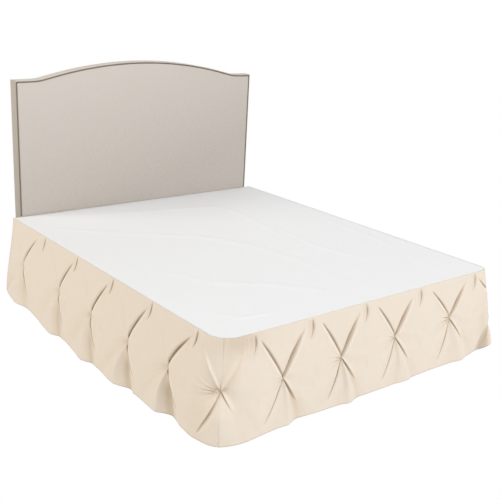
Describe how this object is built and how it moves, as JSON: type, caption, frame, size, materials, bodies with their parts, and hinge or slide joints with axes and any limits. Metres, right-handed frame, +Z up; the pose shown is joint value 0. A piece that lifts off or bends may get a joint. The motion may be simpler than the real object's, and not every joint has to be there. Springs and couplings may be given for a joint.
{
  "type": "bed skirt on a bed base",
  "caption": "Pinch-pleated bed skirt with a flat white deck sheet and cream drops, fitted over a box spring on a steel frame with an arched upholstered headboard.",
  "frame": {"origin": "on the floor under the middle of the bed", "axes": "+Y towards the headboard, +Z up, +X to the right as seen from the foot"},
  "size_m": [2.1132, 2.3256, 1.3777],
  "materials": {
    "cream_cotton": "matte woven cotton, slightly creased",
    "white_deck_cloth": "matte plain-weave sheeting",
    "ticking": "matte woven ticking",
    "greige_linen": "matte linen weave",
    "black_steel": "satin black powder coat",
    "leg_enamel": "satin black enamel",
    "nail_brass": "antiqued, dull",
    "post_wood": "plain planed softwood"
  },
  "bodies": {
    "root": {"box_spring": "ticking", "bracket_left": "black_steel", "bracket_right": "black_steel", "centre_rail": "black_steel", "cross_rail_1": "black_steel", "cross_rail_2": "black_steel", "cross_rail_3": "black_steel", "cross_rail_4": "black_steel", "deck": "white_deck_cloth", "drop_foot": "cream_cotton", "drop_left": "cream_cotton", "drop_right": "cream_cotton", "headboard": "greige_linen", "leg_centre_1": "leg_enamel", "leg_centre_2": "leg_enamel", "leg_centre_3": "leg_enamel", "leg_left_1": "leg_enamel", "leg_left_2": "leg_enamel", "leg_left_3": "leg_enamel", "leg_right_1": "leg_enamel", "leg_right_2": "leg_enamel", "leg_right_3": "leg_enamel", "nail_strip": "nail_brass", "post_left": "post_wood", "post_right": "post_wood", "side_rail_left": "black_steel", "side_rail_right": "black_steel"}
  },
  "joints": []
}
